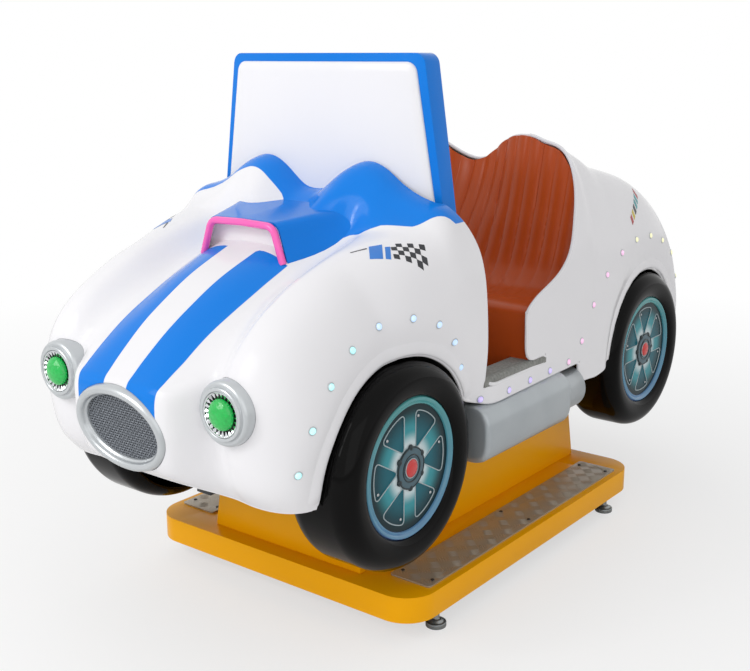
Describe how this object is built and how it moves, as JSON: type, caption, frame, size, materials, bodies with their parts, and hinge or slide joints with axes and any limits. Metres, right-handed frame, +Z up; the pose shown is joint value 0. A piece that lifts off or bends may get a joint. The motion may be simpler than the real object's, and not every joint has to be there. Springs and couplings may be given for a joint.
{
  "type": "kiddie ride machine",
  "caption": "Coin-operated toy roadster that rocks on a low plinth, with a moulded body, bench seat, steering wheel and dummy wheels.",
  "frame": {"origin": "on the floor under the middle of the ride", "axes": "+X to the car's left side, -Y towards its nose, +Z up"},
  "size_m": [0.68, 1.4983, 0.953],
  "materials": {
    "gelcoat_white": "glossy moulded gelcoat",
    "gelcoat_blue": "glossy moulded gelcoat",
    "trim_pink": "glossy paint on moulded plastic",
    "plinth_yellow": "semi-gloss powder coat",
    "tread_aluminium": "chequer plate",
    "zinc_steel": "zinc plated",
    "frame_steel": "grey primer",
    "chassis_black": "black paint",
    "bright_steel": "turned",
    "roller_nylon": "machined",
    "motor_paint": "hammered enamel",
    "box_grey": "powder coat",
    "fitting_black": "moulded",
    "seat_brown": "glossy moulded gelcoat",
    "tyre_black": "glossy moulded",
    "hub_teal": "printed and lacquered",
    "ring_light": "frosted light guide",
    "silver_paint": "silver paint on moulded plastic",
    "lamp_chrome": "plated",
    "lens_green": "moulded",
    "mesh_grey": "perforated sheet",
    "pad_grey": "ribbed",
    "pipe_silver": "silver paint on moulded plastic",
    "led_cap": "moulded",
    "floor_black": "textured",
    "wheel_black": "satin moulded",
    "button_red": "moulded",
    "button_green": "moulded",
    "coin_steel": "brushed",
    "display_glass": "polished"
  },
  "bodies": {
    "base": {"base_cover": "plinth_yellow", "pedestal": "plinth_yellow", "base_rail_left": "frame_steel", "base_rail_right": "frame_steel", "base_cross_front": "frame_steel", "base_cross_rear": "frame_steel", "gear_bearer": "frame_steel", "tread_plate_left": "tread_aluminium", "tread_plate_right": "tread_aluminium", "tread_screws": "zinc_steel", "levelling_feet": "zinc_steel", "foot_locknuts": "zinc_steel", "drive_motor": "motor_paint", "gearbox": "motor_paint", "pivot_post_left": "frame_steel", "pivot_post_right": "frame_steel", "control_box": "box_grey", "mains_inlet": "fitting_black"},
    "car": {"chassis_rail_left": "chassis_black", "chassis_rail_right": "chassis_black", "chassis_cross_front": "chassis_black", "chassis_cross_rear": "chassis_black", "floor_bearers": "chassis_black", "pivot_shaft": "bright_steel", "yoke_plate": "chassis_black", "axle_front": "bright_steel", "axle_rear": "bright_steel", "body_shell": "gelcoat_white", "floor_pan": "floor_black", "seat": "seat_brown", "dash_panel": "gelcoat_white", "windscreen_housing": "gelcoat_blue", "windscreen_panel": "gelcoat_white", "display_bezel": "fitting_black", "display_screen": "display_glass", "hood_scoop": "gelcoat_blue", "scoop_frame": "trim_pink", "grille_ring": "silver_paint", "grille_mesh": "mesh_grey", "lamp_bezels": "silver_paint", "lamp_rings": "lamp_chrome", "lamp_lenses": "lens_green", "tyre_front_left": "tyre_black", "tyre_front_right": "tyre_black", "tyre_rear_left": "tyre_black", "tyre_rear_right": "tyre_black", "hub_discs": "hub_teal", "ring_lights": "ring_light", "sill_pads": "pad_grey", "side_pipes": "pipe_silver", "led_lamps": "led_cap", "speaker": "fitting_black", "cash_box": "coin_steel"},
    "crank": {"crank_disc": "bright_steel", "crank_roller": "roller_nylon"},
    "steering": {"steering_wheel": "wheel_black"},
    "horn": {"horn_button": "button_red"},
    "start": {"start_button": "button_green"},
    "coin_flap": {"coin_door": "coin_steel"},
    "coin_return": {"coin_return_button": "button_red"}
  },
  "joints": [
    {"name": "ride_rock", "type": "hinge", "parent": "base", "child": "car", "pos_m": [0, 0.034, 0.322], "axis": [1, 0, 0], "range_deg": [-5, 5]},
    {"name": "crank_turn", "type": "hinge", "parent": "base", "child": "crank", "pos_m": [0, -0.091, 0.17], "axis": [1, 0, 0], "range_deg": [-92, 92]},
    {"name": "steering_turn", "type": "hinge", "parent": "car", "child": "steering", "pos_m": [0, -0.224, 0.612], "axis": [0, 0.9397, 0.342], "range_deg": [-100, 100]},
    {"name": "horn_press", "type": "slide", "parent": "steering", "child": "horn", "axis": [0, -0.9397, -0.342], "range_m": [0, 0.003], "stiffness_N_per_m": 300},
    {"name": "start_press", "type": "slide", "parent": "car", "child": "start", "axis": [0, -1, 0], "range_m": [0, 0.003], "stiffness_N_per_m": 300},
    {"name": "coin_door_swing", "type": "hinge", "parent": "car", "child": "coin_flap", "pos_m": [-0.2255, -0.2181, 0.555], "axis": [0, 0, 1], "range_deg": [0, 100]},
    {"name": "coin_return_press", "type": "slide", "parent": "coin_flap", "child": "coin_return", "axis": [0, -1, 0], "range_m": [0, 0.003], "stiffness_N_per_m": 200}
  ],
  "couplings": [
    {"joint": "crank_turn", "follows": "ride_rock", "ratio": 18}
  ]
}
